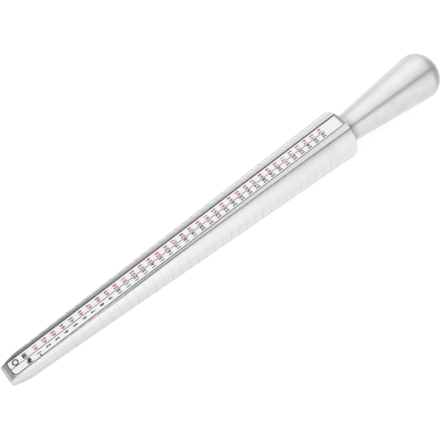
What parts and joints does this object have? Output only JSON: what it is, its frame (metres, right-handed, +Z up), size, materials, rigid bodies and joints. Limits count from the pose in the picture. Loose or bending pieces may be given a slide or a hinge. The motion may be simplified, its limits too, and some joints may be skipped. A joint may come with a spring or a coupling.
{
  "type": "ring sizer stick",
  "caption": "Tapered stepped metal mandrel with a flared handle and a printed scale strip on a milled flat, for reading finger ring sizes.",
  "frame": {"origin": "bottom centre of the stick as it lies on the lower sides of its lands, flat upwards", "axes": "+X from the tip to the handle, +Z up out of the milled flat, +Y to the left of the scale seen from the handle"},
  "size_m": [0.2558, 0.0252, 0.0266],
  "materials": {
    "aluminium": "turned and satin polished",
    "label_white": "smooth printed film"
  },
  "bodies": {
    "root": {"mandrel": "aluminium", "scale_label": "label_white"}
  },
  "joints": []
}
